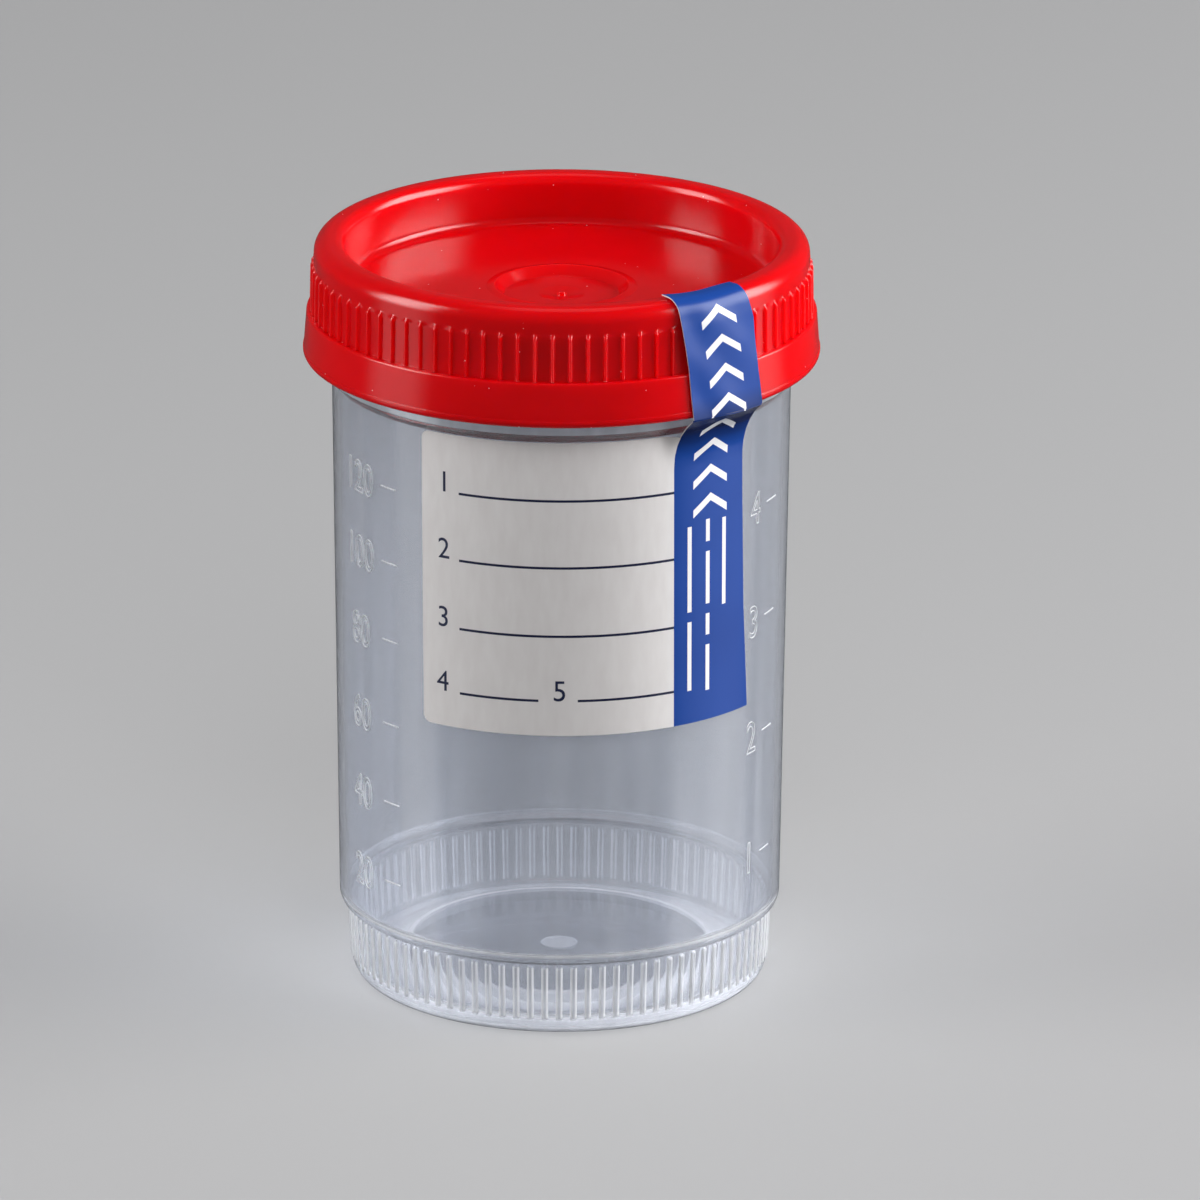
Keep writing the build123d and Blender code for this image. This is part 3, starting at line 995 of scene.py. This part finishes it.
def ink_material():
    """Dark blue print on the write-on panel."""
    m = Surface("label_ink")
    fade = m.noise(700, 3)
    colour = m.mix(m.ramp(fade, 0.3, 0.7), INK, (0.012, 0.018, 0.06, 1))
    return m.surface(Base_Color=colour, Roughness=0.5, IOR=1.45)


def graduation_highlight_material():
    """Whitish raised outlines of the cup's graduations: a painted highlight along the edges of the
    embossed numbers and ticks.
    """
    m = Surface("cup_graduation_highlight")
    streaks = m.noise(300, 3)
    colour = m.mix(m.ramp(streaks, 0.3, 0.7), (0.84, 0.85, 0.88, 1), (0.92, 0.93, 0.95, 1))
    return m.surface(Base_Color=colour, Roughness=0.2, IOR=1.49, Transmission_Weight=0.1)


def floor_material():
    """Plain pale studio floor."""
    m = Surface("studio_floor")
    soft = m.noise(3, 2)
    colour = m.mix(soft, (0.45, 0.45, 0.455, 1), (0.47, 0.47, 0.475, 1))
    return m.surface(Base_Color=colour, Roughness=0.85, Specular_IOR_Level=0.2)


# ---- Pieces ---------------------------------------------------------------------------


def dress(piece, material, body, slot, *nodes):
    """Give a piece its material, body and the CAD nodes that it stands for; slot is not used."""
    piece.data.materials.append(material)
    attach(piece, body)
    if nodes:
        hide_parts(*nodes)


cup = make_cup()
dress(cup, cup_material(), "cup", "cup_plastic", "cup")
cap = make_cap()
dress(cap, cap_material(), "cap", "cap_plastic", "screw_cap")
film_print = film_material()
label, label_length = make_label()
dress(label, film_print, "cup", "label_film", "label")
dress(make_line_numbers(), ink_material(), "cup", "label_film")
dress(make_graduations(), graduation_highlight_material(), "cup", "cup_plastic")
tab = make_tab(label_length)
dress(tab, film_print, "cap", "strip_film", "seal_tab")

# ---- Stage ----------------------------------------------------------------------------

FLOOR_SIZE = 12.0
AIM = Vector((0, 0, 0.045))
CAMERA_PLACE = Vector((0, -1.4241, 0.5244))
CAMERA_PITCH = radians(18.594)
CAMERA_YAW = radians(0.185)
CAMERA_ROLL = radians(0.277)
CAMERA_LENS = 386.04
SENSOR = 36.0


def make_floor():
    """A plain pale floor, that neither lights the object nor is mirrored in it.

    The photo's black ground does neither, and the object keeps its contrast so.
    """
    half = FLOOR_SIZE / 2
    corners = [(-half, -half, 0), (half, -half, 0), (half, half, 0), (-half, half, 0)]
    mesh = bpy.data.meshes.new("studio_floor")
    mesh.from_pydata(corners, [], [(0, 1, 2, 3)])
    floor = bpy.data.objects.new("studio_floor", mesh)
    bpy.context.scene.collection.objects.link(floor)
    mesh.materials.append(floor_material())
    floor.visible_glossy = False
    floor.visible_diffuse = False


def fade(tree, low):
    """Make a light's panel fade out to its edges, and to a share low of its light at its foot."""
    m = Nodes(tree)
    place = m.node("ShaderNodeNewGeometry", "Parametric")
    aside = m.node("ShaderNodeSeparateXYZ", "X", {0: place})
    upward = m.node("ShaderNodeSeparateXYZ", "Y", {0: place})
    strength = m.ramp(upward, 0.3, 0.55, low, interpolation_type="SMOOTHSTEP")
    for value, edge, full in ((aside, 0, 0.35), (aside, 1, 0.65), (upward, 0, 0.15), (upward, 1, 0.8)):
        part = m.ramp(value, edge, full, interpolation_type="SMOOTHSTEP")
        strength = m.math("MULTIPLY", strength, part)
    m.put(strength, tree.nodes["Emission"].inputs["Strength"])


def softbox(name, bearing, elevation, distance, size, watts, low=1.0, glossy=True):
    """A rectangular soft light that faces the cup, with or without a reflection of its panel."""
    data = bpy.data.lights.new(name, "AREA")
    data.use_nodes = True
    data.shape = "RECTANGLE"
    data.size, data.size_y = size
    data.energy = watts
    lamp = bpy.data.objects.new(name, data)
    bpy.context.scene.collection.objects.link(lamp)
    turn, rise = radians(bearing), radians(elevation)
    out = Vector((sin(turn) * cos(rise), -cos(turn) * cos(rise), sin(rise)))
    lamp.location = AIM + out * distance
    lamp.rotation_euler = out.to_track_quat("Z", "Y").to_euler()
    lamp.visible_camera = False
    lamp.visible_glossy = glossy
    fade(data.node_tree, low)


def make_camera():
    """The camera at the photo's angle."""
    ahead = cos(CAMERA_PITCH)
    forward = Vector((sin(CAMERA_YAW) * ahead, cos(CAMERA_YAW) * ahead, -sin(CAMERA_PITCH)))
    level = Vector((cos(CAMERA_YAW), -sin(CAMERA_YAW), 0))
    upward = level.cross(forward)
    right = level * cos(CAMERA_ROLL) + upward * sin(CAMERA_ROLL)
    top = upward * cos(CAMERA_ROLL) - level * sin(CAMERA_ROLL)
    data = bpy.data.cameras.new("camera")
    data.lens = CAMERA_LENS
    data.sensor_width = SENSOR
    data.clip_end = 100
    camera = bpy.data.objects.new("camera", data)
    bpy.context.scene.collection.objects.link(camera)
    facing = Matrix((right, top, -forward)).transposed().to_4x4()
    camera.matrix_world = Matrix.Translation(CAMERA_PLACE) @ facing
    bpy.context.scene.camera = camera


def make_world():
    """A dim even light from all round."""
    world = bpy.data.worlds.new("studio")
    world.use_nodes = True
    background = world.node_tree.nodes["Background"]
    background.inputs["Color"].default_value = (0.95, 0.97, 1.0, 1)
    background.inputs["Strength"].default_value = 0.07
    bpy.context.scene.world = world


make_floor()
make_camera()
make_world()
softbox("right_softbox", bearing=86, elevation=8, distance=1.3, size=(1.8, 2.2), watts=110, low=0.13)
softbox("left_softbox", bearing=-78, elevation=8, distance=1.3, size=(1.0, 2.2), watts=50, low=0.13)
softbox("top_softbox", bearing=175, elevation=78, distance=1.5, size=(1.0, 1.0), watts=1.5)
softbox("front_softbox", bearing=10, elevation=46, distance=1.5, size=(1.0, 1.0), watts=10, glossy=False)
bpy.context.scene.view_settings.view_transform = "Standard"
